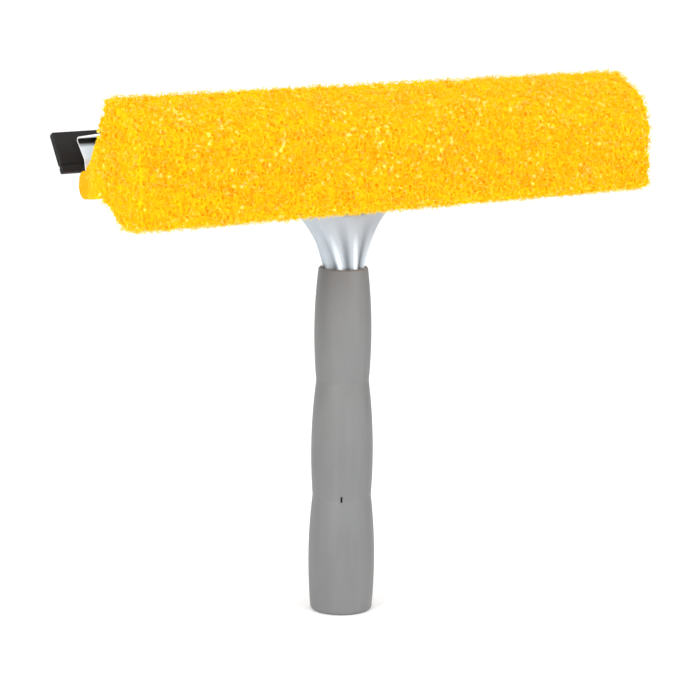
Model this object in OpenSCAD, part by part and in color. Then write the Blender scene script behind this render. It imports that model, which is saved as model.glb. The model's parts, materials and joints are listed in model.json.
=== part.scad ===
// Window cleaning squeegee: moulded grip, pressed steel neck, folded steel rail,
// rubber wiping blade at the back and a coarse foam sponge at the front.
// Millimetres. Z runs up the grip, X along the head, -Y towards the sponge.
// Origin: centre of the grip's bottom end.

/* [Grip] */
// Length of the grip
grip_length = 142; // [125:1:175]
// Radius of the grip at its bottom end
grip_bottom_r = 12.7; // [12.3:0.1:16]
// Radius at the waist between the lower and the middle lobe
lower_waist_r = 11.95; // [11.6:0.05:15]
// Radius at the waist between the middle and the upper lobe
upper_waist_r = 10.7; // [10.5:0.05:14]
// Radius of the grip at its top rim
grip_rim_r = 10; // [9.9:0.1:13]
// How far each lobe swells past the straight line between its waists
lobe_swell = 1.2; // [0.4:0.1:2.5]
// Radius of the rounded edge at the bottom end
bottom_round = 1.5; // [0.4:0.1:2]

/* [Pole socket] */
// Radius of the socket for an extension pole
pole_socket_r = 9.5; // [7:0.1:10]
// Depth of the socket
pole_socket_depth = 38; // [15:1:40]

/* [Neck] */
// Radius over the flutes of the neck's tube
tube_r = 8.65; // [7:0.05:8.8]
// Depth of each flute where the tube leaves the grip
flute_depth = 1.3; // [0:0.1:1.5]
// Height from the grip's rim to the rivets that hold the rail
neck_rise = 39.3; // [36:0.1:55]
// Half the width of the fan where it meets the rail
fan_half_width = 43.5; // [38:0.5:60]

/* [Head] */
// Thickness of the folded steel sheet
sheet = 0.7; // [0.6:0.05:0.85]
// Length of the steel rail
rail_length = 236; // [190:1:320]
// Tooth pitch along the jaws' edges
tooth_pitch = 6; // [5:0.5:10]
// Depth of the teeth
tooth_depth = 2.2; // [1:0.1:3]
// Radius of a rivet's shank
rivet_r = 1.2; // [0.8:0.1:1.4]

/* [Blade] */
// Length of the rubber blade
blade_length = 254; // [210:1:330]
// Width of the rubber blade
blade_width = 16.2; // [14:0.1:20]
// Thickness of the rubber blade
blade_thick = 2.6; // [2:0.1:3.2]
// How far the blade leans back from upright, in degrees
blade_lean = 30.5; // [27:0.5:34]

/* [Sponge] */
// Length of the foam block
sponge_length = 245; // [195:1:320]
// How far the foam reaches in front of the rail
sponge_reach = 46; // [40:0.5:56]
// How far the foam rises above the rivets
sponge_rise = 36.2; // [33:0.2:46]

/* [Hidden] */

steel = "lightsteelblue";
fine = 96;                      // facets on a round face
bend_steps = 5;                 // facets on a bend of the sheet
bend_r = 1;                     // middle radius of a bend

// grip
lower_waist_z = grip_length * 0.338;
upper_waist_z = grip_length * 0.673;
lobe_steps = 14;
tube_gap = 0.25;                // between the neck's tube and the grip's bore
neck_bore_r = tube_r + tube_gap;
socket_floor = 5;               // wall between the pole socket and the neck's bore
tube_foot_z = pole_socket_depth + socket_floor;
rim_round = 0.45;
catch_z = tube_foot_z + 5.5;    // centre of the slit that the neck's barb springs into
catch_turn = 36;                // turn of the slit from the middle of the front, in degrees
catch_width = 0.8;
catch_height = 2.4;
barb_gap = 0.12;
barb_out = 0.9;                 // how far the barb stands into the slit

// neck
flare_z = grip_length + 1;      // where the tube starts to open
rivet_z = grip_length + neck_rise;
flange_below = 2.4;             // sheet under the rivets
flange_above = 2.4;             // neck sheet above the rivets
flange_z = rivet_z - flange_below;
neck_top_z = rivet_z + flange_above;
flare_linear = 0.43;            // straight share of the fan's spread per millimetre
fan_hold = 20;                  // height over which the opening tube keeps its depth
neck_cells = 48;                // facets across half of the neck
neck_rings = 16;                // rings between the tube and the flange
flutes = 8;
flute_fade = 24;                // height over which the flutes fade out

// the stack of sheets at the rivets, from front to back
web_y = 0.2;                    // front face of the channel's web
jaw_y = web_y - sheet;          // front face of the jaw's flange
clamp_y = web_y + sheet;        // front face of the clamp's flange
ply_y = clamp_y + sheet;        // front face of the neck's front ply
seam_y = ply_y + sheet;         // where the neck's two plies meet

// blade, in its own frame: s up the blade, n through it towards the back
blade_gap = 0.15;               // play between the rubber and the sheet
blade_up = [sin(blade_lean), cos(blade_lean)];
blade_back = [cos(blade_lean), -sin(blade_lean)];
blade_foot = [web_y + sheet + 0.25, rivet_z + 6.8];
bead_height = 2.4;              // retaining bead along the foot
bead_groove = 0.5;
groove_width = 1;
bead_chamfer = 0.5;
lip_chamfer = 0.5;

// rail
kink = [web_y + sheet / 2 + 0.85, rivet_z + 11];
corner_s = 13.2;                // height of the channel's corner up the blade
jaw_slope = 9;                  // rise of the top jaw towards the sponge, in degrees
jaw_depth = 26;                 // top jaw from its corner to the tips of its teeth
lower_jaw_z = rivet_z + 7;
lower_jaw_depth = 16;
lower_jaw_slope = 7;
clamp_bend_z = rivet_z + 3.5;
clamp_height = 7.5;             // height of the clamp's lip up the back of the blade
neck_rivet_pitch = fan_half_width / 2;
neck_rivet_x = neck_rivet_pitch * [-1.5, -0.5, 0.5, 1.5];
outer_rivet_x = rail_length / 2 - 14;
inner_rivet_x = (outer_rivet_x + neck_rivet_x[3]) / 2;
tooth_land = 0.2;               // share of the pitch left as a tooth's flat end
rivet_head_r = 2.1;
rivet_head_h = 0.9;
rivet_fit = 0.03;               // play round a rivet's shank

// sponge
slot_gap = 0.3;                 // play between the foam and a jaw
front_y = -sponge_reach;
crest_z = rivet_z + sponge_rise;
heel_y = -2.7;                  // back of the foam's heel, clear of the rivets' heads
jaw_inset = 4;                  // the lower jaw stops this far inside the rail's ends

// ---- outlines -------------------------------------------------------------

function unit(v) = v / norm(v);

function turn(a) = a > 180 ? a - 360 : (a < -180 ? a + 360 : a);

// Points of a round corner at b, between a and c, of radius r
function corner_arc(a, b, c, r, steps) =
    let (u = unit(a - b),
         v = unit(c - b),
         half = acos(u * v) / 2,
         centre = b + unit(u + v) * r / sin(half),
         first = b + u * r / tan(half) - centre,
         last = b + v * r / tan(half) - centre,
         a0 = atan2(first[1], first[0]),
         da = turn(atan2(last[1], last[0]) - a0))
    [for (i = [0:steps]) centre + r * [cos(a0 + da * i / steps), sin(a0 + da * i / steps)]];

// An open path with every inner corner rounded to one radius
function bent_path(p, r) =
    [p[0],
     for (i = [1:len(p) - 2]) each corner_arc(p[i - 1], p[i], p[i + 1], r, bend_steps),
     p[len(p) - 1]];

function path_normal(p, i) =
    let (a = p[max(i - 1, 0)],
         b = p[min(i + 1, len(p) - 1)],
         d = unit(b - a))
    [-d[1], d[0]];

// Outline of a folded sheet of thickness t along the middle line p
function folded(p, t) =
    let (q = bent_path(p, bend_r), last = len(q) - 1)
    [for (i = [0:last]) q[i] + path_normal(q, i) * t / 2,
     for (i = [last:-1:0]) q[i] - path_normal(q, i) * t / 2];

// A closed outline of corners [y, z, radius]
function rounded(c) =
    let (n = len(c))
    [for (i = [0:n - 1])
        let (a = c[(i + n - 1) % n], b = c[i], d = c[(i + 1) % n])
        each corner_arc([a[0], a[1]], [b[0], b[1]], [d[0], d[1]], b[2], 6)];

function on_blade(s, n) = blade_foot + s * blade_up + n * blade_back;

// Extrudes an outline drawn in the Y-Z plane along X, about X = 0
module along_x(length) {
    rotate([90, 0, 90]) linear_extrude(length, center = true) children();
}

// ---- grip -----------------------------------------------------------------

function lobe(z0, r0, z1, r1, swell) =
    [for (i = [0:lobe_steps])
        let (s = i / lobe_steps)
        [r0 + (r1 - r0) * s + swell * 4 * s * (1 - s), z0 + (z1 - z0) * s]];

module grip_outline() {
    polygon([[0, 0],
             [grip_bottom_r - bottom_round, 0],
             for (a = [-75:15:-15]) [grip_bottom_r - bottom_round + bottom_round * cos(a),
                                     bottom_round + bottom_round * sin(a)],
             each lobe(bottom_round, grip_bottom_r, lower_waist_z, lower_waist_r, lobe_swell),
             each lobe(lower_waist_z, lower_waist_r, upper_waist_z, upper_waist_r, lobe_swell),
             each lobe(upper_waist_z, upper_waist_r, grip_length - rim_round, grip_rim_r, lobe_swell),
             [grip_rim_r - rim_round, grip_length],
             [0, grip_length]]);
}

module grip() {
    color("gray")
    difference() {
        rotate_extrude($fn = fine) grip_outline();
        translate([0, 0, tube_foot_z])
            cylinder(r = neck_bore_r, h = grip_length, $fn = fine);
        translate([0, 0, -1])
            cylinder(r = pole_socket_r, h = pole_socket_depth + 1, $fn = fine);
        rotate([0, 0, -catch_turn])
            translate([-catch_width / 2, -2 * grip_bottom_r, catch_z - catch_height / 2])
                cube([catch_width, 2 * grip_bottom_r, catch_height]);
    }
}

// ---- neck: two pressed halves that meet along a flat seam ---------------------

function ease(t) =
    let (c = min(max(t, 0), 1))
    c * c * (3 - 2 * c);

// How far the neck has turned from a round tube into a flat flange at height z
function fan_share(z) =
    let (start = flare_z + fan_hold)
    ease((z - start) / (flange_z - 3 - start));

// Half the neck's width at height z: a tube that opens in a hollow curve
function fan_width(z) =
    let (rise = min(max(z, flare_z), flange_z) - flare_z,
         full = flange_z - flare_z,
         cubic = (fan_half_width - tube_r - flare_linear * full) / pow(full, 3))
    tube_r + flare_linear * rise + cubic * pow(rise, 3);

// Half the neck's depth at height z
function fan_depth(z) = tube_r + (sheet - tube_r) * fan_share(z);

// Place of the seam's plane along Y at height z, from the tube's axis back to the rail
function fan_seam(z) = seam_y * fan_share(z);

function flute(z) = flute_depth / tube_r * (1 - ease((z - flare_z) / flute_fade));

// What the flutes leave of the neck's radius at an angle from the middle of the front
function fluted(z, angle) = 1 - flute(z) * (1 - cos(flutes * angle)) / 2;

// A point on the neck's outside (inset 0) or inside (inset = sheet), u from -1 to 1
function neck_point(u, z, inset, side) =
    let (share = fan_share(z),
         a = fan_width(z) - inset,
         b = max(fan_depth(z) - inset, 0),
         power = 2 + 8 * share,
         x = (1 - share) * sin(90 * u) + share * u,
         arch = pow(max(1 - pow(abs(x), power), 0), 1 / power),
         bulge = arch + (1 - arch) * pow(share, 6),
         groove = fluted(z, 90 * u))
    [a * x * groove, fan_seam(z) + side * b * bulge * groove, z];

neck_levels = [tube_foot_z + 0.5, flare_z - 3,
               for (i = [0:neck_rings]) flare_z + (flange_z - 3 - flare_z) * i / neck_rings,
               neck_top_z];

// side is -1 for the front half and 1 for the back half
module neck_half(side) {
    columns = neck_cells + 1;
    ring = 2 * columns;
    rings = len(neck_levels);
    points = [for (z = neck_levels)
        each [for (i = [0:neck_cells]) neck_point(2 * i / neck_cells - 1, z, 0, side),
              for (i = [neck_cells:-1:0]) neck_point(2 * i / neck_cells - 1, z, sheet, side)]];
    walls = [for (k = [0:rings - 2], i = [0:ring - 1])
        let (j = (i + 1) % ring, a = k * ring, b = a + ring)
        each [[a + i, b + i, b + j], [a + i, b + j, a + j]]];
    foot = [for (i = [0:neck_cells - 1])
        each [[i, i + 1, ring - 2 - i], [i, ring - 2 - i, ring - 1 - i]]];
    lid = (rings - 1) * ring;
    top = [for (f = foot) [lid + f[2], lid + f[1], lid + f[0]]];
    faces = concat(walls, foot, top);
    polyhedron(points, side < 0 ? [for (f = faces) [f[2], f[1], f[0]]] : faces);
}

module rivet_holes(xs) {
    for (x = xs)
        translate([x, jaw_y - 5, rivet_z])
            rotate([-90, 0, 0])
                cylinder(r = rivet_r + rivet_fit, h = 20, $fn = 32);
}

// The barb that springs into the grip's slit, rooted in the tube's wall
module barb() {
    width = catch_width - 2 * barb_gap;
    height = catch_height - 2 * barb_gap;
    root = tube_r * fluted(catch_z, catch_turn) - sheet / 2;
    tip = tube_r + barb_out;
    rotate([0, 0, -catch_turn])
        translate([-width / 2, -tip, catch_z - height / 2])
            cube([width, tip - root, height]);
}

module neck_front() {
    color(steel)
        difference() {
            union() {
                neck_half(-1);
                barb();
            }
            rivet_holes(neck_rivet_x);
        }
}

module neck_back() {
    color(steel)
        difference() {
            neck_half(1);
            rivet_holes(neck_rivet_x);
        }
}

// ---- rail -----------------------------------------------------------------

rail_rivets_x = concat(neck_rivet_x, [-outer_rivet_x, -inner_rivet_x, inner_rivet_x, outer_rivet_x]);

corner = on_blade(corner_s, -blade_gap - sheet / 2);
jaw_tip = corner + jaw_depth * [-cos(jaw_slope), sin(jaw_slope)];
channel_line = [[web_y + sheet / 2, flange_z],
                [web_y + sheet / 2, blade_foot[1] - 0.4],
                kink, corner, jaw_tip];

lower_bend = [jaw_y + sheet / 2, lower_jaw_z];
lower_tip = lower_bend + lower_jaw_depth * [-cos(lower_jaw_slope), sin(lower_jaw_slope)];
lower_jaw_line = [[jaw_y + sheet / 2, flange_z], lower_bend, lower_tip];

clamp_n = blade_thick + blade_gap + sheet / 2;
clamp_line = [[clamp_y + sheet / 2, flange_z],
              [clamp_y + sheet / 2, clamp_bend_z],
              on_blade(-0.3, clamp_n + 0.1),
              on_blade(clamp_height, clamp_n)];

// Notches that leave a row of teeth along a jaw's edge; slope as the jaw's
module tooth_notches(tip, slope) {
    count = floor(rail_length / tooth_pitch);
    half = tooth_pitch * (1 - tooth_land) / 2;
    over = 1;                   // how far a notch's mouth reaches past the edge
    for (i = [0:count - 1])
        translate([(i - (count - 1) / 2) * tooth_pitch, tip[0], tip[1]])
            rotate([-slope, 0, 0])
                linear_extrude(4 * sheet, center = true)
                    polygon([[-half, -over], [half, -over], [0, tooth_depth]]);
}

module blade_channel() {
    color(steel)
        difference() {
            along_x(rail_length) polygon(folded(channel_line, sheet));
            tooth_notches(jaw_tip, jaw_slope);
            rivet_holes(rail_rivets_x);
        }
}

module sponge_jaw() {
    color(steel)
        difference() {
            along_x(rail_length - 2 * jaw_inset) polygon(folded(lower_jaw_line, sheet));
            tooth_notches(lower_tip, lower_jaw_slope);
            rivet_holes(rail_rivets_x);
        }
}

module blade_clamp() {
    color(steel)
        difference() {
            along_x(rail_length) polygon(folded(clamp_line, sheet));
            rivet_holes(rail_rivets_x);
        }
}

// A domed rivet through sheets that lie from near to far along Y
module rivet(x, near, far) {
    dome_r = (rivet_head_r * rivet_head_r + rivet_head_h * rivet_head_h) / (2 * rivet_head_h);
    stack = far - near;
    translate([x, near, rivet_z])
        rotate([-90, 0, 0]) {
            cylinder(r = rivet_r, h = stack, $fn = 32);
            for (end = [0, 1])
                translate([0, 0, end * stack])
                    mirror([0, 0, 1 - end])
                        rotate_extrude($fn = 32)
                            polygon([[0, 0],
                                     [rivet_head_r, 0],
                                     for (i = [1:5])
                                         let (r = rivet_head_r * (1 - i / 6))
                                         [r, sqrt(dome_r * dome_r - r * r) - dome_r + rivet_head_h],
                                     [0, rivet_head_h]]);
        }
}

module neck_rivets() {
    color("gainsboro")
        for (x = neck_rivet_x) rivet(x, jaw_y, seam_y + sheet);
}

module rail_rivets() {
    color("gainsboro")
        for (i = [len(neck_rivet_x):len(rail_rivets_x) - 1])
            rivet(rail_rivets_x[i], jaw_y, ply_y);
}

// ---- rubber and foam --------------------------------------------------------

module rubber_blade() {
    groove_end = bead_height + groove_width;
    groove_floor = blade_thick - bead_groove;
    outline = [[bead_chamfer, 0], [bead_height, 0],
               [bead_height, bead_groove], [groove_end, bead_groove], [groove_end, 0],
               [blade_width, 0],
               [blade_width, blade_thick - lip_chamfer],
               [blade_width - lip_chamfer, blade_thick],
               [groove_end, blade_thick], [groove_end, groove_floor],
               [bead_height, groove_floor], [bead_height, blade_thick],
               [bead_chamfer, blade_thick],
               [0, blade_thick - bead_chamfer], [0, bead_chamfer]];
    color("dimgray")
        along_x(blade_length)
            polygon([for (p = outline) on_blade(p[0], p[1])]);
}

// Corners [y, z, radius] of the foam block, from its bottom front edge over the crest
sponge_corners = [
    [front_y, flange_z - 8.4, 3],               // bottom front edge
    [front_y + 0.8, crest_z - 11.5, 17],        // rounded shoulder
    [-22.2, crest_z + 1.2, 3.5],                // crest
    [-12.2, rivet_z + 12, 8],                   // slope down to the lower jaw
    [-7.6, lower_jaw_z + 0.6, 1],               // where the jaw pinches it
    [heel_y - 0.5, lower_jaw_z - 1.2, 3],       // heel, under the jaw
    [heel_y - 0.9, flange_z - 0.1, 3.2],
    [-17, flange_z + 1.4, 6],                   // root of the heel
    [13 - sponge_reach, flange_z - 8.8, 5]];    // back of the flat bottom

module sponge() {
    color("gold")
        along_x(sponge_length)
            difference() {
                polygon(rounded(sponge_corners));
                polygon(folded([kink, corner, jaw_tip + slot_gap * [-1, 0]],
                               sheet + 2 * slot_gap));
                polygon(folded([lower_jaw_line[0], lower_bend, lower_tip + slot_gap * [-1, 0]],
                               sheet + 2 * slot_gap));
            }
}

grip();
neck_front();
neck_back();
blade_channel();
sponge_jaw();
blade_clamp();
neck_rivets();
rail_rivets();
rubber_blade();
sponge();
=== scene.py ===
"""Builds the looks of a window squeegee round its packed design.

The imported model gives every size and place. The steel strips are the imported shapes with
their cut edges eased, the neck and the grip are turned and pressed again with a finer skin,
the rivets are set out along the rail, and the sponge is grown as open-cell foam inside the
packed block.
"""
import json
import math

import bmesh
import bpy
import numpy as np
from bpy.props import FloatProperty, FloatVectorProperty, IntProperty, PointerProperty
from mathutils import Matrix, Vector


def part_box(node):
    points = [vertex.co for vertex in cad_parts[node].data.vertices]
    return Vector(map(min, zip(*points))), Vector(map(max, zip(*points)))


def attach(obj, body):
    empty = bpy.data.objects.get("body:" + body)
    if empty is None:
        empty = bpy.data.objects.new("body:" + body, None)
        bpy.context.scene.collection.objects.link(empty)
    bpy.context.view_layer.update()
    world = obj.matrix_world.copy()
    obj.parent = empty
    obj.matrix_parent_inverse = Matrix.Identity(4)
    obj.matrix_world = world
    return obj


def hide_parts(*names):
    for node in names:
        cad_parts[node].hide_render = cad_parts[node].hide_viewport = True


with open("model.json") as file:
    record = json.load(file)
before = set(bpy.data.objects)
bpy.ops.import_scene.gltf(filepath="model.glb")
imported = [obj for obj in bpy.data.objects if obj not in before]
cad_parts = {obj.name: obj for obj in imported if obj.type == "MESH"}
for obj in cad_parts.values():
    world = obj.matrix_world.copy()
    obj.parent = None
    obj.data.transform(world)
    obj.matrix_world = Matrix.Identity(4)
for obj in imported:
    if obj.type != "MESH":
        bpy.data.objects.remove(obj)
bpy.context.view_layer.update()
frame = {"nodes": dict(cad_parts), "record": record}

bl_info = {
    "name": "Window Squeegee",
    "version": (1, 0, 0),
    "blender": (4, 5, 0),
    "location": "3D View > Sidebar > Squeegee",
    "description": "Builds a window squeegee with a foam sponge round its packed design",
    "category": "Object",
}

MM = 0.001
FLUTE = "flute"                 # from -1 down in a flute of the neck to 1 on the ridge beside it
STANDING = "standing"           # how far a point of the foam stands past the block, in mm


# ---- settings ------------------------------------------------------------------


def colour(name, default, description):
    return FloatVectorProperty(
        name=name, description=description, subtype="COLOR", size=3,
        min=0.0, max=1.0, default=default,
    )


def length(name, default, description, low=0.0, high=1.0):
    return FloatProperty(
        name=name, description=description, subtype="DISTANCE", unit="LENGTH",
        min=low, max=high, default=default, precision=5,
    )


def share(name, default, description):
    return FloatProperty(
        name=name, description=description, subtype="FACTOR", min=0.0, max=1.0, default=default
    )


class GripSettings(bpy.types.PropertyGroup):
    """Moulded grip"""

    plastic: colour("Plastic", (0.142, 0.146, 0.146), "Colour of the moulded plastic")
    roughness: share("Roughness", 0.5, "Roughness of the moulded skin")
    grain: length("Grain", 0.35 * MM, "Size of the fine grain left by the mould", 0.05 * MM, 2 * MM)
    facets: IntProperty(name="Facets", description="Faces round the grip",
                        min=32, max=256, default=144)


class SteelSettings(bpy.types.PropertyGroup):
    """Zinc-coated sheet"""

    zinc: colour("Zinc", (0.44, 0.5, 0.555), "Colour of the zinc coat")
    shine: share("Shine", 0.35, "How metallic the zinc coat looks")
    roughness: share("Roughness", 0.36, "Roughness of the zinc coat")
    spangle: length("Spangle", 3.5 * MM, "Size of the crystals in the zinc", 0.5 * MM, 20 * MM)
    edge: length("Edge round", 0.1 * MM, "Rounding of the sheared edges", 0.0, 0.3 * MM)


class RubberSettings(bpy.types.PropertyGroup):
    """Wiping rubber"""

    rubber: colour("Rubber", (0.0078, 0.007, 0.007), "Colour of the rubber")
    roughness: share("Roughness", 0.55, "Roughness of the rubber")
    edge: length("Edge round", 0.12 * MM, "Rounding of the cut edges", 0.0, 0.5 * MM)


class FoamSettings(bpy.types.PropertyGroup):
    """Open-cell foam"""

    foam: colour("Foam", (0.9, 0.4, 0.0015), "Colour of the foam's walls")
    # Deep is painted shade: the foam darker and more orange down in the cells and on the heel.
    deep: colour("Deep", (0.88, 0.35, 0.001), "Colour of the foam down in the cells")
    # Tips is painted light: the loose ends made pale as if light shines through them.
    lit_tips: colour("Tips", (0.98, 0.62, 0.11), "Colour of the loose ends of the strands")
    cell: length("Cell", 1.6 * MM, "Size of a cell", 0.8 * MM, 5 * MM)
    openness: share("Openness", 0.5, "How open the cells are at the surface")
    swell: length("Swell", 0.5 * MM, "How far the torn surface stands past the block", 0.0, 3 * MM)
    pores: length("Pores", 2.0 * MM, "Depth at which the foam closes up", 1 * MM, 12 * MM)
    gap: length("Gap", 0.4 * MM, "Clearance between the foam and the steel", 0.36 * MM, 2 * MM)
    voxel: length("Voxel", 0.42 * MM, "Grid that the foam is grown on", 0.2 * MM, 2 * MM)
    strands: FloatProperty(name="Strands", description="Loose strands for each square centimetre",
                           min=0.0, max=200.0, default=62.0)
    strand_length: length("Strand length", 1.5 * MM, "Reach of a loose strand", 0.2 * MM, 5 * MM)
    strand_radius: length("Strand radius", 0.1 * MM, "Radius of a loose strand",
                          0.02 * MM, 0.5 * MM)


class StudioSettings(bpy.types.PropertyGroup):
    """Stage and lamps"""

    floor: colour("Floor", (0.95, 0.95, 0.95), "Colour of the floor and backdrop")
    sky: FloatProperty(name="Sky", description="Strength of the even light",
                       min=0.0, max=5.0, default=1.08)
    key: FloatProperty(name="Key", description="Power of the main lamp", unit="POWER",
                       min=0.0, max=200.0, default=12.0)


# ---- meshes --------------------------------------------------------------------


def piece_from(name, mesh):
    piece = bpy.data.objects.new(name, mesh)
    bpy.context.scene.collection.objects.link(piece)
    return piece


def piece_of(name, points, faces):
    mesh = bpy.data.meshes.new(name)
    mesh.from_pydata([tuple(p) for p in points], [], faces)
    mesh.validate()
    return piece_from(name, mesh)


def smooth(mesh, degrees):
    """Smooth shading, broken where two faces meet at more than this angle."""
    mesh.shade_smooth()
    mesh.set_sharp_from_angle(angle=math.radians(degrees))


def face_out(mesh):
    work = bmesh.new()
    work.from_mesh(mesh)
    bmesh.ops.remove_doubles(work, verts=work.verts, dist=1e-7)
    bmesh.ops.recalc_face_normals(work, faces=work.faces)
    work.to_mesh(mesh)
    work.free()


def settle(piece, degrees=35):
    """Applies every modifier, so that the piece keeps a plain mesh."""
    evaluated = piece.evaluated_get(bpy.context.evaluated_depsgraph_get())
    mesh = bpy.data.meshes.new_from_object(evaluated)
    piece.modifiers.clear()
    piece.data = mesh
    mesh.name = piece.name
    for slot in reversed(range(len(mesh.materials))):
        if mesh.materials[slot] is None:
            mesh.materials.pop(index=slot)
    smooth(mesh, degrees)


def from_packed(name, node):
    """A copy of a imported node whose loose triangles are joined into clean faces."""
    mesh = frame["nodes"][node].data.copy()
    mesh.materials.clear()
    work = bmesh.new()
    work.from_mesh(mesh)
    bmesh.ops.remove_doubles(work, verts=work.verts, dist=2e-6)
    bmesh.ops.dissolve_limit(
        work, angle_limit=math.radians(0.5), verts=work.verts, edges=work.edges
    )
    work.to_mesh(mesh)
    work.free()
    for layer in list(mesh.uv_layers):
        mesh.uv_layers.remove(layer)
    return piece_from(name, mesh)


def ease_edges(piece, width, degrees=40, segments=2):
    bevel = piece.modifiers.new("eased edges", "BEVEL")
    bevel.width = width
    bevel.segments = segments
    bevel.limit_method = "ANGLE"
    bevel.angle_limit = math.radians(degrees)
    bevel.use_clamp_overlap = True


def dress(piece, material, body, slot, *nodes):
    """Gives a finished piece its material and its body and hides the nodes it stands for; slot is not
    used.
    """
    if not piece.data.materials:
        piece.data.materials.append(material)
    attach(piece, body)
    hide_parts(*nodes)


# ---- node trees ----------------------------------------------------------------


class Tree:
    """Short calls for making and joining nodes."""

    def __init__(self, tree):
        self.tree = tree

    def feed(self, socket, value):
        if isinstance(value, bpy.types.NodeSocket):
            self.tree.links.new(value, socket)
        elif value is not None:
            socket.default_value = value

    def add(self, kind, **settings):
        node = self.tree.nodes.new(kind)
        for name, value in settings.items():
            setattr(node, name, value)
        return node

    def maths(self, operation, *values):
        node = self.add("ShaderNodeMath", operation=operation)
        for socket, value in zip(node.inputs, values):
            self.feed(socket, value)
        return node.outputs[0]

    def vector(self, operation, *values):
        node = self.add("ShaderNodeVectorMath", operation=operation)
        for socket, value in zip(node.inputs, values):
            self.feed(socket, value)
        return node.outputs["Value" if operation == "DOT_PRODUCT" else "Vector"]

    def noise(self, place, scale, detail=2.0, rough=0.5):
        node = self.add("ShaderNodeTexNoise")
        self.feed(node.inputs["Vector"], place)
        self.feed(node.inputs["Scale"], scale)
        self.feed(node.inputs["Detail"], detail)
        self.feed(node.inputs["Roughness"], rough)
        return node.outputs[0]

    def cells(self, place, scale, feature="F1", output="Distance", randomness=1.0):
        node = self.add("ShaderNodeTexVoronoi", feature=feature)
        self.feed(node.inputs["Vector"], place)
        self.feed(node.inputs["Scale"], scale)
        self.feed(node.inputs["Randomness"], randomness)
        return node.outputs[output]

    def span(self, value, low, high, to_low, to_high, smooth_steps=False):
        node = self.add("ShaderNodeMapRange")
        if smooth_steps:
            node.interpolation_type = "SMOOTHSTEP"
        for name, x in (("Value", value), ("From Min", low), ("From Max", high),
                        ("To Min", to_low), ("To Max", to_high)):
            self.feed(node.inputs[name], x)
        return node.outputs["Result"]

    def mix(self, factor, a, b):
        node = self.add("ShaderNodeMix", data_type="RGBA")
        self.feed(node.inputs[0], factor)
        self.feed(node.inputs[6], a)
        self.feed(node.inputs[7], b)
        return node.outputs[2]

    def stretched(self, place, scale):
        node = self.add("ShaderNodeMapping")
        self.feed(node.inputs["Vector"], place)
        node.inputs["Scale"].default_value = scale
        return node.outputs[0]


def new_material(name):
    """A new material as (material, its tree, its main shader, object coordinates)."""
    material = bpy.data.materials.new(name)
    material.use_nodes = True
    tree = Tree(material.node_tree)
    shader = material.node_tree.nodes["Principled BSDF"]
    place = tree.add("ShaderNodeTexCoord").outputs["Object"]
    return material, tree, shader, place


def bump(tree, shader, height, distance, strength=1.0):
    node = tree.add("ShaderNodeBump")
    node.inputs["Distance"].default_value = distance
    node.inputs["Strength"].default_value = strength
    tree.feed(node.inputs["Height"], height)
    tree.feed(shader.inputs["Normal"], node.outputs["Normal"])


def tint(rgb, factor):
    return tuple(min(1.0, c * factor) for c in rgb) + (1.0,)


def moulded_plastic(settings):
    material, tree, shader, place = new_material("moulded_plastic")
    grain = tree.noise(place, 1 / settings.grain, 3.0, 0.6)
    flow = tree.noise(tree.stretched(place, (1, 1, 0.12)), 260, 3.0, 0.55)
    cloud = tree.noise(place, 45, 2.0, 0.5)
    shade = tree.maths("ADD", tree.maths("MULTIPLY", flow, 0.5), tree.maths("MULTIPLY", cloud, 0.5))
    base = tree.mix(tree.span(shade, 0.35, 0.65, 0.0, 1.0),
                    tint(settings.plastic, 0.94), tint(settings.plastic, 1.07))
    tree.feed(shader.inputs["Base Color"], base)
    tree.feed(shader.inputs["Roughness"],
              tree.span(grain, 0.3, 0.7, settings.roughness - 0.06, settings.roughness + 0.08))
    shader.inputs["IOR"].default_value = 1.49
    height = tree.maths("ADD", tree.maths("MULTIPLY", grain, 0.7),
                        tree.maths("MULTIPLY", flow, 0.6))
    bump(tree, shader, height, 0.03 * MM, 0.5)
    return material


def parts_of(tree, vector):
    """The three outputs of a vector taken apart."""
    split = tree.add("ShaderNodeSeparateXYZ")
    tree.feed(split.inputs[0], vector)
    return split.outputs


def fold_shade(tree, place, base, fold):
    """Paints shade on the front of a sheet just under its fold, and a painted highlight on its cut
    ends.
    """
    normal = parts_of(tree, tree.add("ShaderNodeNewGeometry").outputs["True Normal"])
    below = tree.maths("SUBTRACT", fold, parts_of(tree, place)[2])
    shaded = tree.maths("MULTIPLY", tree.span(below, 1.3 * MM, 2.8 * MM, 1.0, 0.0),
                        tree.span(normal[1], -0.5, -0.7, 0.0, 1.0))
    base = tree.mix(shaded, base, (0.008, 0.008, 0.008, 1.0))
    # Painted highlight: the cut ends are made white.
    cut = tree.span(tree.maths("ABSOLUTE", normal[0]), 0.5, 0.8, 0.0, 1.0)
    return tree.mix(cut, base, (1.0, 1.0, 1.0, 1.0))


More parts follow.
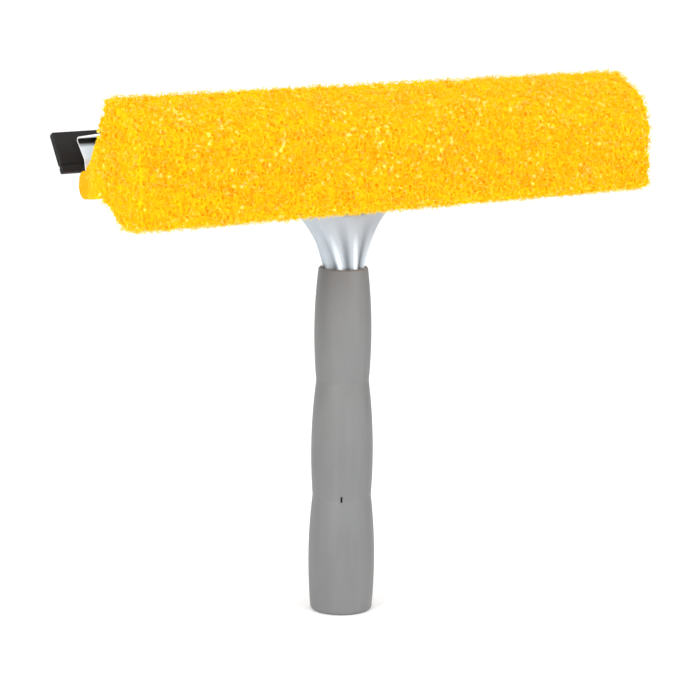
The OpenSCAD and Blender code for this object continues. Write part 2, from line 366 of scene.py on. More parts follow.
def zinc_sheet(settings, name, painted_light=1.0, fold=None):
    """Zinc coat made lighter by a painted-light factor; shade is painted below the fold height."""
    material, tree, shader, place = new_material(name)
    crystal = tree.cells(place, 1 / settings.spangle, output="Color")
    crystal = tree.vector("DOT_PRODUCT", crystal, (0.33, 0.33, 0.34))
    rolled = tree.noise(tree.stretched(place, (0.06, 1, 1)), 2200, 2.0, 0.5)
    handled = tree.noise(place, 90, 3.0, 0.6)
    base = tree.mix(tree.maths("MULTIPLY", crystal, 0.5),
                    tint(settings.zinc, 0.93 * painted_light), tint(settings.zinc, 1.06 * painted_light))
    # Painted shade down in the neck's flutes and a painted highlight on its ridges.
    flute = tree.add("ShaderNodeAttribute", attribute_name=FLUTE).outputs["Fac"]
    base = tree.mix(tree.span(flute, 0.0, -1.0, 0.0, 0.8), base,
                    tint(settings.zinc, 0.2 * painted_light))
    base = tree.mix(tree.span(flute, 0.35, 1.0, 0.0, 0.8), base,
                    tint(settings.zinc, 1.9 * painted_light))
    if fold:
        base = fold_shade(tree, place, base, fold)
    tree.feed(shader.inputs["Base Color"], base)
    rough = tree.maths("ADD",
                       tree.span(crystal, 0.0, 1.0,
                                 settings.roughness - 0.04, settings.roughness + 0.05),
                       tree.span(handled, 0.35, 0.7, -0.03, 0.08))
    tree.feed(shader.inputs["Roughness"], rough)
    shader.inputs["Metallic"].default_value = settings.shine
    height = tree.maths("ADD", tree.maths("MULTIPLY", rolled, 0.5),
                        tree.maths("MULTIPLY", crystal, 0.15))
    bump(tree, shader, height, 0.01 * MM, 0.35)
    return material


def black_rubber(settings):
    material, tree, shader, place = new_material("blade_rubber")
    drawn = tree.noise(tree.stretched(place, (0.03, 1, 1)), 1500, 2.0, 0.5)
    bloom = tree.noise(place, 140, 4.0, 0.65)
    dust = tree.cells(place, 900)
    speck = tree.span(dust, 0.06, 0.12, 1.0, 0.0)
    faded = tree.mix(tree.span(bloom, 0.42, 0.72, 0.0, 1.0),
                    tint(settings.rubber, 0.8), tint(settings.rubber, 1.7))
    base = tree.mix(tree.maths("MULTIPLY", speck, 0.18), faded, (0.3, 0.28, 0.26, 1))
    tree.feed(shader.inputs["Base Color"], base)
    tree.feed(shader.inputs["Roughness"],
              tree.span(bloom, 0.3, 0.7, settings.roughness - 0.08, settings.roughness + 0.14))
    shader.inputs["IOR"].default_value = 1.52
    shader.inputs["Specular IOR Level"].default_value = 0.25
    bump(tree, shader, drawn, 0.02 * MM, 0.6)
    return material


def foam_strands(settings):
    material, tree, shader, place = new_material("foam_strands")
    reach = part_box("sponge_jaw")[0].y
    # The heel behind the jaw's front edge gets painted shade and fewer painted highlights.
    pressed = tree.span(parts_of(tree, place)[1], reach + 1 * MM, reach + 8 * MM, 0.0, 1.0)
    cloud = tree.noise(place, 60, 3.0, 0.55)
    wall = tree.noise(place, 900, 2.0, 0.5)
    standing = tree.add("ShaderNodeAttribute", attribute_name=STANDING).outputs["Fac"]
    rgb = [c[:] + (1.0,) for c in (settings.deep, settings.foam, settings.lit_tips)]
    # Painted shade: the foam turns to the deep colour down in the cells.
    body = tree.mix(tree.span(standing, -2.2, -0.4, 0.0, 1.0), rgb[0], rgb[1])
    body = tree.mix(tree.span(cloud, 0.4, 0.7, 0.0, 0.5), body, rgb[0])
    # Painted highlights: pale glints on the cell walls and on the tips of loose strands.
    glint = tree.vector("DOT_PRODUCT", tree.cells(place, 800, output="Color"), (1.0, 0.0, 0.0))
    glint = tree.span(tree.maths("ADD", glint, tree.span(cloud, 0.3, 0.7, -0.1, 0.1)),
                      0.93, 1.0, 0.0, 0.9)
    tip = tree.span(tree.maths("ADD", standing, tree.span(wall, 0.3, 0.7, -0.4, 0.4)),
                    0.5, 1.8, 0.0, 0.7)
    # Painted shade darkens the heel.
    body = tree.mix(tree.maths("MULTIPLY", pressed, 0.85), body, tint(settings.deep, 0.78))
    pale = tree.maths("MULTIPLY", tree.maths("MAXIMUM", glint, tip),
                      tree.maths("SUBTRACT", 1.0, tree.maths("MULTIPLY", pressed, 0.8)))
    tree.feed(shader.inputs["Base Color"], tree.mix(pale, body, rgb[2]))
    shader.inputs["Roughness"].default_value = 0.6
    shader.inputs["IOR"].default_value = 1.42
    shader.inputs["Specular IOR Level"].default_value = 0.06
    shader.inputs["Subsurface Weight"].default_value = 0.9
    shader.inputs["Subsurface Radius"].default_value = (1.0, 0.7, 0.1)
    shader.inputs["Subsurface Scale"].default_value = 5 * MM
    bump(tree, shader, wall, 0.05 * MM, 0.4)
    return material


def pale_floor(settings):
    material, tree, shader, place = new_material("pale_floor")
    tone = tree.noise(place, 3.0, 2.0, 0.5)
    tree.feed(shader.inputs["Base Color"],
              tree.mix(tree.span(tone, 0.3, 0.7, 0.0, 1.0),
                       tint(settings.floor, 0.99), tint(settings.floor, 1.0)))
    shader.inputs["Roughness"].default_value = 0.7
    return material


def dark_card():
    material, tree, shader, place = new_material("dark_card")
    tone = tree.noise(place, 30, 2.0, 0.5)
    tree.feed(shader.inputs["Base Color"],
              tree.mix(tone, (0.02, 0.02, 0.02, 1), (0.04, 0.04, 0.04, 1)))
    shader.inputs["Roughness"].default_value = 0.9
    return material


# ---- geometry node trees ---------------------------------------------------------


class GrowTree(Tree):
    """A geometry tree with named inputs, whose last nodes realize it and set its material."""

    def __init__(self, name, **inputs):
        group = bpy.data.node_groups.new(name, "GeometryNodeTree")
        super().__init__(group)
        group.interface.new_socket("Geometry", in_out="OUTPUT", socket_type="NodeSocketGeometry")
        group.interface.new_socket("Geometry", in_out="INPUT", socket_type="NodeSocketGeometry")
        self.sockets = {}
        for label, value in inputs.items():
            is_object = isinstance(value, bpy.types.Object)
            kind = "NodeSocketObject" if is_object else "NodeSocketFloat"
            socket = group.interface.new_socket(label, in_out="INPUT", socket_type=kind)
            if not is_object:
                socket.default_value = value
            self.sockets[label] = socket.identifier
        self.source = self.add("NodeGroupInput")
        self.values = inputs

    def given(self, label):
        return self.source.outputs[label]

    def finish(self, geometry, material):
        real = self.add("GeometryNodeRealizeInstances")
        coat = self.add("GeometryNodeSetMaterial")
        out = self.add("NodeGroupOutput")
        self.feed(real.inputs[0], geometry)
        self.feed(coat.inputs["Geometry"], real.outputs[0])
        coat.inputs["Material"].default_value = material
        self.feed(out.inputs[0], coat.outputs[0])

    def grow(self, piece):
        """Runs the tree on a piece and leaves it with the plain mesh that comes out."""
        modifier = piece.modifiers.new(self.tree.name, "NODES")
        modifier.node_group = self.tree
        for label, identifier in self.sockets.items():
            modifier[identifier] = self.values[label]
        settle(piece)


class FoamTree(GrowTree):
    """Open-cell foam: bubbles bite into the block from its skin, and loose strands stand out."""

    def __init__(self, settings, material, channel, jaw):
        coarse = 1.0
        super().__init__(
            "open_cell_foam", channel=channel, jaw=jaw,
            cell=settings.cell, openness=settings.openness, swell=settings.swell,
            pores=settings.pores, gap=settings.gap, voxel=settings.voxel * coarse,
            strands=settings.strands / 1e-4 / coarse**2,
            strand_length=settings.strand_length, strand_radius=settings.strand_radius,
            jaw_reach=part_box("sponge_jaw")[0].y,
        )
        self.block = self.given("Geometry")
        self.steel = self.add("GeometryNodeJoinGeometry").outputs[0]
        for label in ("channel", "jaw"):
            sheet = self.add("GeometryNodeObjectInfo")
            self.feed(sheet.inputs["Object"], self.given(label))
            self.feed(self.steel.node.inputs[0], sheet.outputs["Geometry"])
        foam = self.add("GeometryNodeJoinGeometry").outputs[0]
        self.feed(foam.node.inputs[0], self.cells_mesh())
        self.feed(foam.node.inputs[0], self.strand_mesh())
        mark = self.add("GeometryNodeStoreNamedAttribute", data_type="FLOAT", domain="POINT")
        self.feed(mark.inputs["Geometry"], foam)
        mark.inputs["Name"].default_value = STANDING
        self.feed(mark.inputs["Value"], self.maths("MULTIPLY", self.depth(), -1 / MM))
        self.finish(mark.outputs[0], material)

    def position(self):
        return self.add("GeometryNodeInputPosition").outputs["Position"]

    def depth(self):
        """How deep a point lies in the block; less than nothing outside it."""
        place = self.position()
        nearest = self.add("GeometryNodeProximity", target_element="FACES")
        self.feed(nearest.inputs[0], self.block)
        self.feed(nearest.inputs["Sample Position"], place)
        outward = self.add("GeometryNodeCaptureAttribute", domain="POINT")
        outward.capture_items.new("VECTOR", "outward")
        self.feed(outward.inputs[0], self.block)
        self.feed(outward.inputs[1], self.add("GeometryNodeInputNormal").outputs[0])
        skin = self.add("GeometryNodeSampleNearestSurface", data_type="FLOAT_VECTOR")
        self.feed(skin.inputs["Mesh"], outward.outputs[0])
        self.feed(skin.inputs["Value"], outward.outputs[1])
        self.feed(skin.inputs["Sample Position"], place)
        away = self.vector("SUBTRACT", nearest.outputs["Position"], place)
        side = self.maths("SIGN", self.vector("DOT_PRODUCT", away, skin.outputs["Value"]))
        return self.maths("MULTIPLY", side, nearest.outputs["Distance"])

    def pinched(self):
        """How far the jaws press the foam together: from 0 in front of them to 1 behind."""
        y = parts_of(self, self.position())[1]
        reach = self.given("jaw_reach")
        return self.span(y, self.maths("SUBTRACT", reach, 5 * MM),
                         self.maths("ADD", reach, 4 * MM), 0.0, 1.0)

    def steel_distance(self):
        nearest = self.add("GeometryNodeProximity", target_element="FACES")
        self.feed(nearest.inputs[0], self.steel)
        self.feed(nearest.inputs["Sample Position"], self.position())
        return nearest.outputs["Distance"]

    def cells_mesh(self):
        place = self.position()
        depth = self.depth()
        pinched = self.pinched()
        loose = self.maths("SUBTRACT", 1.0, self.maths("MULTIPLY", pinched, 0.75))
        swell = self.maths("ADD", self.given("swell"), self.maths("MULTIPLY", pinched, 0.4 * MM))
        torn = self.span(self.noise(place, 330, 2.0, 0.6), 0.3, 0.7, 0.0, 1.4 * MM)
        torn = self.maths("MULTIPLY", torn, loose)
        skin = self.maths("SUBTRACT", self.maths("ADD", depth, swell), torn)
        clear = self.maths("SUBTRACT", self.steel_distance(), self.given("gap"))
        skin = self.maths("MULTIPLY", self.maths("MINIMUM", skin, clear), 1 / MM)

        warp = self.add("ShaderNodeTexNoise")
        self.feed(warp.inputs["Vector"], place)
        warp.inputs["Scale"].default_value = 300
        shift = self.vector("SUBTRACT", warp.outputs["Color"], (0.5, 0.5, 0.5))
        shift = self.vector("SCALE", shift)
        shift.node.inputs["Scale"].default_value = 0.8 * MM
        bubbles = self.cells(self.vector("ADD", place, shift),
                             self.maths("DIVIDE", 1.0, self.given("cell")), randomness=0.9)
        shut = self.maths("SUBTRACT", 1.0, self.maths("DIVIDE", depth, self.given("pores")))
        opened = self.maths("MULTIPLY", self.given("openness"), loose)
        walls = self.maths("SUBTRACT", bubbles, self.maths("MULTIPLY", opened, shut))
        field = self.maths("MINIMUM", walls, skin)

        bounds = self.add("GeometryNodeBoundBox")
        self.feed(bounds.inputs[0], self.block)
        margin = (2 * MM, 2 * MM, 2 * MM)
        low = self.vector("SUBTRACT", bounds.outputs["Min"], margin)
        high = self.vector("ADD", bounds.outputs["Max"], margin)
        extent = parts_of(self, self.vector("SUBTRACT", high, low))
        cube = self.add("GeometryNodeVolumeCube")
        self.feed(cube.inputs["Density"], field)
        cube.inputs["Background"].default_value = -1.0
        self.feed(cube.inputs["Min"], low)
        self.feed(cube.inputs["Max"], high)
        for axis in range(3):
            count = self.maths("DIVIDE", extent[axis], self.given("voxel"))
            self.feed(cube.inputs[f"Resolution {'XYZ'[axis]}"], self.maths("ROUND", count))
        skin_mesh = self.add("GeometryNodeVolumeToMesh")
        self.feed(skin_mesh.inputs["Volume"], cube.outputs[0])
        skin_mesh.inputs["Threshold"].default_value = 0.0
        skin_mesh.inputs["Adaptivity"].default_value = 0.0
        return skin_mesh.outputs["Mesh"]

    def strand(self, *bends):
        """One bent strand of unit length as a thin three-sided rod."""
        curve = self.add("GeometryNodeCurvePrimitiveBezierSegment")
        curve.mode = "POSITION"
        curve.inputs["Resolution"].default_value = 4
        for name, point in zip(("Start", "Start Handle", "End Handle", "End"), bends):
            curve.inputs[name].default_value = point
        section = self.add("GeometryNodeCurvePrimitiveCircle")
        section.inputs["Resolution"].default_value = 3
        self.feed(section.inputs["Radius"], self.maths("DIVIDE", self.given("strand_radius"),
                                                       self.given("strand_length")))
        rod = self.add("GeometryNodeCurveToMesh")
        self.feed(rod.inputs["Curve"], curve.outputs[0])
        self.feed(rod.inputs["Profile Curve"], section.outputs[0])
        rod.inputs["Fill Caps"].default_value = True
        return rod.outputs[0]

    def strand_mesh(self):
        kinds = self.add("GeometryNodeGeometryToInstance").outputs[0]
        for bends in (
            ((-0.45, 0, -0.2), (-0.5, 0.1, 0.9), (0.4, -0.2, 0.9), (0.45, 0, -0.2)),
            ((0, 0, -0.3), (0.25, 0.1, 0.3), (-0.2, 0.1, 0.6), (0.3, 0.3, 0.85)),
            ((-0.6, 0, -0.15), (-0.3, 0.35, 0.5), (0.3, 0.35, 0.45), (0.6, 0, -0.15)),
        ):
            self.feed(kinds.node.inputs[0], self.strand(*bends))
        spots = self.add("GeometryNodeDistributePointsOnFaces")
        self.feed(spots.inputs["Mesh"], self.block)
        self.feed(spots.inputs["Density"], self.given("strands"))
        clear = self.add("FunctionNodeCompare", data_type="FLOAT", operation="GREATER_THAN")
        self.feed(clear.inputs[0], self.steel_distance())
        clear.inputs[1].default_value = 2.5 * MM
        self.feed(spots.inputs["Selection"], clear.outputs[0])
        spots.inputs["Seed"].default_value = 5
        size = self.maths("MULTIPLY", self.random("FLOAT", 0.55, 1.4, 11),
                          self.maths("SUBTRACT", 1.0, self.maths("MULTIPLY", self.pinched(), 0.45)))
        copies = self.add("GeometryNodeInstanceOnPoints")
        self.feed(copies.inputs["Points"], spots.outputs["Points"])
        self.feed(copies.inputs["Instance"], kinds)
        copies.inputs["Pick Instance"].default_value = True
        self.feed(copies.inputs["Rotation"], spots.outputs["Rotation"])
        self.feed(copies.inputs["Scale"], self.maths("MULTIPLY", size, self.given("strand_length")))
        turn = self.add("GeometryNodeRotateInstances")
        self.feed(turn.inputs["Instances"], copies.outputs[0])
        self.feed(turn.inputs["Rotation"],
                  self.random("FLOAT_VECTOR", (-0.9, -0.9, -3.14), (0.9, 0.9, 3.14), 12))
        real = self.add("GeometryNodeRealizeInstances")
        self.feed(real.inputs[0], turn.outputs[0])
        return real.outputs[0]

    def random(self, kind, low, high, seed):
        node = self.add("FunctionNodeRandomValue", data_type=kind)
        first = 0 if kind == "FLOAT_VECTOR" else 2
        node.inputs[first].default_value = low
        node.inputs[first + 1].default_value = high
        node.inputs["Seed"].default_value = seed
        return node.outputs[0] if kind == "FLOAT_VECTOR" else node.outputs[1]


def rivet_tree(name, head_radius, head_height, shank_radius, stack, material):
    """Domed rivets, one at each point, through a stack of sheets along Y."""
    tree = GrowTree(name, head_radius=head_radius, head_height=head_height,
                    shank_radius=shank_radius, stack=stack)
    joined = tree.add("GeometryNodeJoinGeometry")
    shank = tree.add("GeometryNodeMeshCylinder")
    shank.inputs["Vertices"].default_value = 32
    tree.feed(shank.inputs["Radius"], tree.given("shank_radius"))
    tree.feed(shank.inputs["Depth"], tree.given("stack"))
    tree.feed(joined.inputs[0], shank.outputs["Mesh"])
    size = tree.add("ShaderNodeCombineXYZ")
    tree.feed(size.inputs[0], tree.given("head_radius"))
    tree.feed(size.inputs[1], tree.given("head_radius"))
    tree.feed(size.inputs[2], tree.given("head_height"))
    for side in (-1, 1):
        dome = tree.add("GeometryNodeMeshUVSphere")
        dome.inputs["Segments"].default_value = 32
        dome.inputs["Rings"].default_value = 14
        dome.inputs["Radius"].default_value = 1.0
        lift = tree.add("ShaderNodeCombineXYZ")
        tree.feed(lift.inputs[2], tree.maths("MULTIPLY", tree.given("stack"), side / 2))
        move = tree.add("GeometryNodeTransform")
        tree.feed(move.inputs["Geometry"], dome.outputs["Mesh"])
        tree.feed(move.inputs["Translation"], lift.outputs[0])
        tree.feed(move.inputs["Scale"], size.outputs[0])
        tree.feed(joined.inputs[0], move.outputs["Geometry"])
    lay = tree.add("GeometryNodeTransform")
    tree.feed(lay.inputs["Geometry"], joined.outputs[0])
    lay.inputs["Rotation"].default_value = (math.radians(90), 0, 0)
    spots = tree.add("GeometryNodeMeshToPoints")
    tree.feed(spots.inputs["Mesh"], tree.given("Geometry"))
    copies = tree.add("GeometryNodeInstanceOnPoints")
    tree.feed(copies.inputs["Points"], spots.outputs[0])
    tree.feed(copies.inputs["Instance"], lay.outputs[0])
    tree.finish(copies.outputs[0], material)
    return tree


# ---- grip ----------------------------------------------------------------------


def grip_outline():
    """The grip's outline as (radius, height) from its foot to its rim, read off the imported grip."""
    levels = {}
    bore = 9.52 * MM                # just past the pole socket's wall
    for v in frame["nodes"]["grip"].data.vertices:
        radius = math.hypot(v.co.x, v.co.y)
        if radius > bore:
            z = round(v.co.z, 5)
            levels[z] = max(levels.get(z, 0), radius)
    return [(levels[z], z) for z in sorted(levels)]


# ---- neck ----------------------------------------------------------------------


def eased(t):
    t = np.clip(t, 0, 1)
    return t * t * (3 - 2 * t)


class NeckShape:
    """The pressed neck: a fluted tube that opens into a flat fan."""

    FLUTES = 8
    LINEAR_SPREAD = 0.43
    HOLD = 20 * MM
    FADE = 24 * MM
    FLUTE_DEPTH = 1.3 * MM
    SHEET = 0.7 * MM

    def __init__(self):
        low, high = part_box("neck_back")
        rivets_low, rivets_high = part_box("neck_rivets")
        self.foot, self.top = low.z, high.z
        self.tube = high.y
        self.seam_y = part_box("neck_front")[1].y
        self.fan = high.x
        self.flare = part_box("grip")[1].z + 1 * MM
        self.flange = (rivets_low.z + rivets_high.z) / 2 - 2.4 * MM

    def points(self, u, z, inset, side):
        """Points across half the neck at height z; side is -1 in front and 1 behind."""
        start = self.flare + self.HOLD
        part = eased((z - start) / (self.flange - 3 * MM - start))
        rise = min(max(z, self.flare), self.flange) - self.flare
        full = self.flange - self.flare
        cubic = (self.fan - self.tube - self.LINEAR_SPREAD * full) / full**3
        wide = self.tube + self.LINEAR_SPREAD * rise + cubic * rise**3 - inset
        deep = max(self.tube + (self.SHEET - self.tube) * part - inset, 0)
        power = 2 + 8 * part
        x = (1 - part) * np.sin(np.pi / 2 * u) + part * u
        arch = np.maximum(1 - np.abs(x) ** power, 0) ** (1 / power)
        arch = arch + (1 - arch) * part**6
        depth = self.FLUTE_DEPTH / self.tube * (1 - eased((z - self.flare) / self.FADE))
        groove = 1 - depth * (1 - np.cos(self.FLUTES * np.pi / 2 * u)) / 2
        seam = self.seam_y * part
        return np.stack([wide * x * groove, seam + side * deep * arch * groove,
                         np.full_like(u, z)], axis=1)

    def flute(self, u, z):
        """From -1 down in a flute to 1 on a ridge, fading to nothing where the flutes end."""
        # The outer flutes get weaker painted shade and highlights.
        faded = 1 - 0.8 * eased((np.abs(u) - 0.55) / 0.25)
        fade = 1 - eased((z - self.flare) / self.FADE)
        return faded * np.cos(self.FLUTES * np.pi / 2 * u) * fade

    def half(self, name, side, columns=176, rings=72):
        """One pressed half as a closed sheet, with the mark of its flutes kept on its points."""
        u = np.linspace(-1, 1, columns)
        heights = np.concatenate([[self.foot], np.linspace(self.flare - 4 * MM, self.flange, rings),
                                  [self.top]])
        loops = [np.concatenate([self.points(u, z, 0, side),
                                 self.points(u, z, self.SHEET, side)[::-1]]) for z in heights]
        ring = 2 * columns
        faces = []
        for k in range(len(heights) - 1):
            for i in range(ring):
                j = (i + 1) % ring
                faces.append((k * ring + i, k * ring + j, (k + 1) * ring + j, (k + 1) * ring + i))
        last = (len(heights) - 1) * ring
        for i in range(columns - 1):
            cap = (i, i + 1, ring - 2 - i, ring - 1 - i)
            faces.append(cap)
            faces.append(tuple(last + c for c in reversed(cap)))
        piece = piece_of(name, np.concatenate(loops), faces)
        marks = [np.tile(self.flute(u, z), (2, 1)) for z in heights]
        marks = np.concatenate([np.concatenate([m[0], m[1][::-1]]) for m in marks])
        piece.data.attributes.new(FLUTE, "FLOAT", "POINT").data.foreach_set("value", marks)
        face_out(piece.data)
        smooth(piece.data, 40)
        return piece


# ---- rivets ----------------------------------------------------------------------


def rivet_centres(node):
    """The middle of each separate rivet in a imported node."""
    low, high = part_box(node)
    xs = sorted(v.co.x for v in frame["nodes"][node].data.vertices)
    groups, first = [], xs[0]
    for a, b in zip(xs, xs[1:] + [math.inf]):
        if b - a > 5 * MM:
            groups.append((first + a) / 2)
            first = b
    return [(x, (low.y + high.y) / 2, (low.z + high.z) / 2) for x in groups]


# ---- operators -------------------------------------------------------------------


class SQUEEGEE_OT_grip(bpy.types.Operator):
    """Turn the moulded grip with its pole socket, neck bore and catch slit"""

    bl_idname = "squeegee.grip"
    bl_label = "Grip"

    def execute(self, context):
        settings = context.scene.squeegee_grip
        record = frame["record"]
        socket = next(m for m in record["mounts"] if m["name"] == "pole_socket")["dims"]
        socket_r, socket_depth = socket["r_mm"] * MM, socket["length_mm"] * MM
        bore_r = NeckShape().tube + 0.25 * MM
        bore_floor = NeckShape().foot - 0.5 * MM
        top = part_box("grip")[1].z
        outline = grip_outline()
        section = [(0, socket_depth), (socket_r, socket_depth), (socket_r, 0.4 * MM),
                   (socket_r + 0.4 * MM, 0)]
        section += outline
        section += [(bore_r + 0.25 * MM, top), (bore_r, top - 0.25 * MM), (bore_r, bore_floor),
                    (0, bore_floor)]
        facets = settings.facets
        points, faces = [], []
        for r, z in section:
            for k in range(facets):
                a = 2 * math.pi * (k + 0.5) / facets
                points.append((r * math.sin(a), r * math.cos(a), z))
        for low in range(0, (len(section) - 1) * facets, facets):
            for k in range(facets):
                m = (k + 1) % facets
                faces.append((low + k, low + m, low + facets + m, low + facets + k))
        piece = piece_of("grip_sleeve", points, faces)
        face_out(piece.data)
        self.cut_slit(piece)
        smooth(piece.data, 30)
        self.crease_waists(piece.data, outline)
        dress(piece, moulded_plastic(settings), "head", "grip_plastic", "grip")
        return {"FINISHED"}

    def crease_waists(self, mesh, outline):
        """Keeps the grip's narrow places crisp."""
        waists = [outline[i] for i in range(2, len(outline) - 2)
                  if outline[i][0] < min(outline[i - 1][0], outline[i + 1][0])]
        sharp = mesh.attributes["sharp_edge"].data
        for edge in mesh.edges:
            a, b = (mesh.vertices[v].co for v in edge.vertices)
            if any(max(abs(a.z - z), abs(b.z - z)) < 1e-5 and a.xy.length > r - 0.1 * MM
                   for r, z in waists):
                sharp[edge.index].value = True

    def cut_slit(self, piece):
        """Opens the slit that the neck's barb springs into, near the lower waist."""
        shape = NeckShape()
        barb = [v.co for v in frame["nodes"]["neck_front"].data.vertices
                if v.co.z < shape.flare - 20 * MM and v.co.xy.length > shape.tube + 0.3 * MM]
        middle = sum(barb, Vector()) / len(barb)
        turn = Matrix.Rotation(math.atan2(middle.x, -middle.y), 4, "Z")
        local = [turn.inverted() @ p for p in barb]
        play = 0.12 * MM
        half = max(abs(p.x) for p in local) + play
        z0, z1 = min(p.z for p in local) - play, max(p.z for p in local) + play
        corners = [turn @ Vector((x, y, z))
                   for x in (-half, half) for y in (-20 * MM, 0) for z in (z0, z1)]
        faces = [(0, 1, 3, 2), (4, 6, 7, 5), (0, 4, 5, 1), (2, 3, 7, 6), (0, 2, 6, 4), (1, 5, 7, 3)]
        cutter = piece_of("slit_cutter", corners, faces)
        face_out(cutter.data)
        cut = piece.modifiers.new("slit", "BOOLEAN")
        cut.operation = "DIFFERENCE"
        cut.solver = "EXACT"
        cut.object = cutter
        evaluated = piece.evaluated_get(bpy.context.evaluated_depsgraph_get())
        mesh = bpy.data.meshes.new_from_object(evaluated)
        piece.modifiers.clear()
        piece.data = mesh
        bpy.data.objects.remove(cutter)


class SQUEEGEE_OT_neck(bpy.types.Operator):
    """Press the two halves of the fluted neck"""

    bl_idname = "squeegee.neck"
    bl_label = "Neck"

    def execute(self, context):
        steel = zinc_sheet(context.scene.squeegee_steel, "neck_zinc")
        shape = NeckShape()
        for name, node, side in (("neck_front_half", "neck_front", -1),
                                 ("neck_back_half", "neck_back", 1)):
            piece = shape.half(name, side)
            dress(piece, steel, "head", "zinc_steel", node)
        return {"FINISHED"}


class SQUEEGEE_OT_rail(bpy.types.Operator):
    """Copy the channel, the lower jaw and the blade clamp, with their sheared edges eased"""

    bl_idname = "squeegee.rail"
    bl_label = "Rail"

    def execute(self, context):
        settings = context.scene.squeegee_steel
        fold = max((v.co.y, v.co.z) for v in frame["nodes"]["blade_channel"].data.vertices)[1]
        # The channel and rail zinc are brightened copies of the zinc as painted light; the channel
        # also gets painted shade under its fold.
        folded = zinc_sheet(settings, "channel_zinc", 1.9, fold)
        plain_steel = zinc_sheet(settings, "rail_zinc", 1.75)
        for name, node, steel in (("rail_channel", "blade_channel", folded),
                                  ("lower_jaw", "sponge_jaw", plain_steel),
                                  ("clamp_strip", "blade_clamp", plain_steel)):
            piece = from_packed(name, node)
            ease_edges(piece, settings.edge)
            settle(piece, 32)
            dress(piece, steel, "head", "zinc_steel", node)
        return {"FINISHED"}


class SQUEEGEE_OT_rivets(bpy.types.Operator):
    """Set the domed rivets along the rail and through the neck"""

    bl_idname = "squeegee.rivets"
    bl_label = "Rivets"

    def execute(self, context):
        # The rivet zinc is a brightened copy of the zinc as painted light.
        steel = zinc_sheet(context.scene.squeegee_steel, "rivet_zinc", 1.5)
        head_height = 0.9 * MM
        for name, node in (("neck_rivet_set", "neck_rivets"), ("rail_rivet_set", "rail_rivets")):
            low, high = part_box(node)
            stack = high.y - low.y - 2 * head_height
            head = (high.z - low.z) / 2
            piece = piece_of(name, rivet_centres(node), [])
            rivet_tree(name + "_tree", head, head_height, 1.2 * MM, stack, steel).grow(piece)
            dress(piece, steel, "head", "rivet_steel", node)
        return {"FINISHED"}


class SQUEEGEE_OT_blade(bpy.types.Operator):
    """Cut the rubber blade with its retaining bead"""

    bl_idname = "squeegee.blade"
    bl_label = "Rubber blade"

    def execute(self, context):
        settings = context.scene.squeegee_rubber
        piece = from_packed("wiper_rubber", "rubber_blade")
        ease_edges(piece, settings.edge, 25, 3)
        settle(piece, 40)
        dress(piece, black_rubber(settings), "blade", "black_rubber", "rubber_blade")
        return {"FINISHED"}


class SQUEEGEE_OT_foam(bpy.types.Operator):
    """Grow the open-cell foam sponge inside its block"""

    bl_idname = "squeegee.foam"
    bl_label = "Foam sponge"

    def execute(self, context):
        settings = context.scene.squeegee_foam
        strands = foam_strands(settings)
        piece = from_packed("foam_block", "sponge")
        channel, jaw = (bpy.data.objects[name] for name in ("rail_channel", "lower_jaw"))
        FoamTree(settings, strands, channel, jaw).grow(piece)
        if len(piece.data.polygons) < 1000:
            raise RuntimeError("the foam did not grow")
        dress(piece, strands, "foam", "yellow_foam", "sponge")
        return {"FINISHED"}


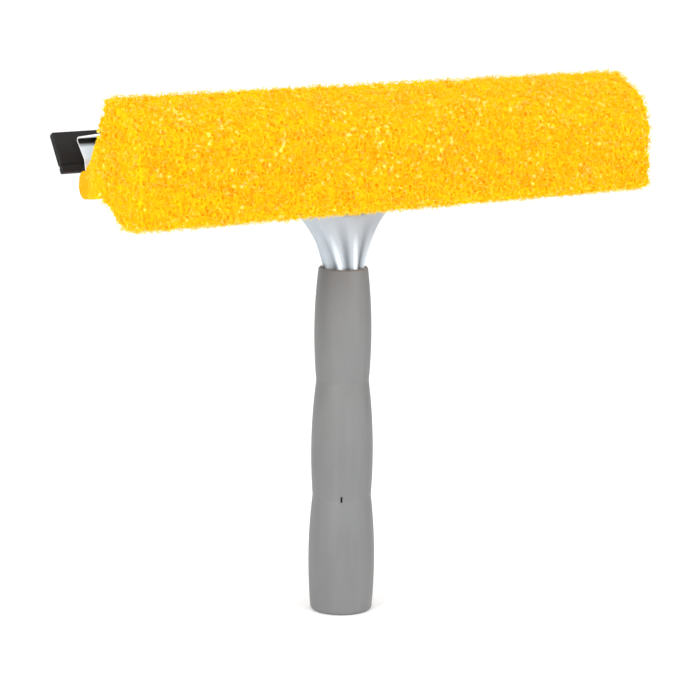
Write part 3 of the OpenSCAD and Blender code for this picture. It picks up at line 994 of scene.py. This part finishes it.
class SQUEEGEE_OT_stage(bpy.types.Operator):
    """Set up the floor, the lamps and the camera"""

    bl_idname = "squeegee.stage"
    bl_label = "Stage"

    # the camera looks across the head from the left, a little from above
    CAMERA_AT = (-0.5898, -0.8177, 0.2992)
    YAW = math.radians(35.97)
    PITCH = math.radians(10.74)
    ROLL = math.radians(0.449)
    LENS = 130.5

    def execute(self, context):
        settings = context.scene.squeegee_studio
        self.floor(settings)
        self.sky(context.scene, settings)
        self.lamps(settings)
        self.flags()
        context.scene.camera = self.camera()
        context.scene.view_settings.view_transform = "Standard"
        context.scene.view_settings.look = "None"
        return {"FINISHED"}

    def floor(self, settings):
        """A floor that sweeps up into a backdrop on every side."""
        reach, bend, rings, spokes = 3.0, 1.5, 16, 96
        profile = [(0.0, 0.0), (reach, 0.0)]
        profile += [(reach + bend * math.sin(a), bend - bend * math.cos(a))
                    for a in np.linspace(0, math.pi / 2, rings)[1:]]
        points = [(r * math.cos(t), r * math.sin(t), z) for r, z in profile[1:]
                  for t in np.linspace(0, 2 * math.pi, spokes, endpoint=False)]
        faces = [tuple(range(spokes))]
        for low in range(0, (len(profile) - 2) * spokes, spokes):
            for k in range(spokes):
                m = (k + 1) % spokes
                faces.append((low + k, low + spokes + k, low + spokes + m, low + m))
        sweep = piece_of("studio_floor", points, faces)
        smooth(sweep.data, 60)
        sweep.data.materials.append(pale_floor(settings))
        sweep.visible_shadow = False

    def sky(self, scene, settings):
        world = bpy.data.worlds.new("soft_sky")
        world.use_nodes = True
        scene.world = world
        background = world.node_tree.nodes["Background"]
        background.inputs["Color"].default_value = (1.0, 1.0, 1.0, 1.0)
        background.inputs["Strength"].default_value = settings.sky

    def lamps(self, settings):
        target = Vector((0, 0, 0.15))
        for name, place, size, power in (
            ("key_lamp", (0.4, -1.5, 0.8), 0.8, settings.key * 1.2),
            ("side_lamp", (-1.3, -0.5, 0.7), 0.5, settings.key * 1.1),
        ):
            data = bpy.data.lights.new(name, "AREA")
            data.energy = power
            data.size = size
            lamp = bpy.data.objects.new(name, data)
            bpy.context.scene.collection.objects.link(lamp)
            lamp.location = place
            lamp.rotation_euler = (target - Vector(place)).to_track_quat("-Z", "Y").to_euler()

    def flags(self):
        """Dark cards at both sides of the grip, so that it and the neck take on some shade."""
        for name, place, width in (("left_flag", (-0.42, 0.36, 0.1), 0.5),
                                   ("right_flag", (0.6, -0.06, 0.1), 0.5)):
            half, high = width / 2, 0.075
            corners = [(-half, 0, -high), (half, 0, -high), (half, 0, high), (-half, 0, high)]
            card = piece_of(name, corners, [(0, 1, 2, 3)])
            turn = Vector((place[0], place[1], 0)).to_track_quat("Y", "Z").to_matrix().to_4x4()
            card.data.transform(Matrix.Translation(place) @ turn)
            card.data.materials.append(dark_card())
            card.visible_camera = False

    def camera(self):
        right = Vector((math.cos(self.YAW), -math.sin(self.YAW), 0))
        level = Vector((math.sin(self.YAW), math.cos(self.YAW), 0))
        forward = level * math.cos(self.PITCH) - Vector((0, 0, math.sin(self.PITCH)))
        up = level * math.sin(self.PITCH) + Vector((0, 0, math.cos(self.PITCH)))
        c, s = math.cos(self.ROLL), math.sin(self.ROLL)
        across, above = right * c + up * s, up * c - right * s
        data = bpy.data.cameras.new("camera")
        data.sensor_width = 36
        data.lens = self.LENS
        data.clip_end = 20
        camera = bpy.data.objects.new("camera", data)
        bpy.context.scene.collection.objects.link(camera)
        turn = Matrix((across, above, -forward)).transposed().to_4x4()
        camera.matrix_world = Matrix.Translation(self.CAMERA_AT) @ turn
        return camera


class SQUEEGEE_PT_panel(bpy.types.Panel):
    """The squeegee's pieces and their settings"""

    bl_idname = "SQUEEGEE_PT_panel"
    bl_label = "Window Squeegee"
    bl_space_type = "VIEW_3D"
    bl_region_type = "UI"
    bl_category = "Squeegee"

    def draw(self, context):
        for operator, group in STEPS:
            box = self.layout.box()
            box.operator(operator.bl_idname)
            settings = getattr(context.scene, group)
            for name in settings.__annotations__:
                box.prop(settings, name)


SETTINGS = {
    "squeegee_grip": GripSettings,
    "squeegee_steel": SteelSettings,
    "squeegee_rubber": RubberSettings,
    "squeegee_foam": FoamSettings,
    "squeegee_studio": StudioSettings,
}
STEPS = (
    (SQUEEGEE_OT_stage, "squeegee_studio"),
    (SQUEEGEE_OT_grip, "squeegee_grip"),
    (SQUEEGEE_OT_neck, "squeegee_steel"),
    (SQUEEGEE_OT_rail, "squeegee_steel"),
    (SQUEEGEE_OT_rivets, "squeegee_steel"),
    (SQUEEGEE_OT_blade, "squeegee_rubber"),
    (SQUEEGEE_OT_foam, "squeegee_foam"),
)
CLASSES = (*SETTINGS.values(), *(operator for operator, _ in STEPS), SQUEEGEE_PT_panel)


def register():
    for cls in CLASSES:
        bpy.utils.register_class(cls)
    for name, group in SETTINGS.items():
        setattr(bpy.types.Scene, name, PointerProperty(type=group))


def unregister():
    for name in SETTINGS:
        delattr(bpy.types.Scene, name)
    for cls in reversed(CLASSES):
        bpy.utils.unregister_class(cls)


def main():
    register()
    for operator, _ in STEPS:
        group, name = operator.bl_idname.split(".")
        getattr(getattr(bpy.ops, group), name)()


if __name__ == "__main__":
    main()
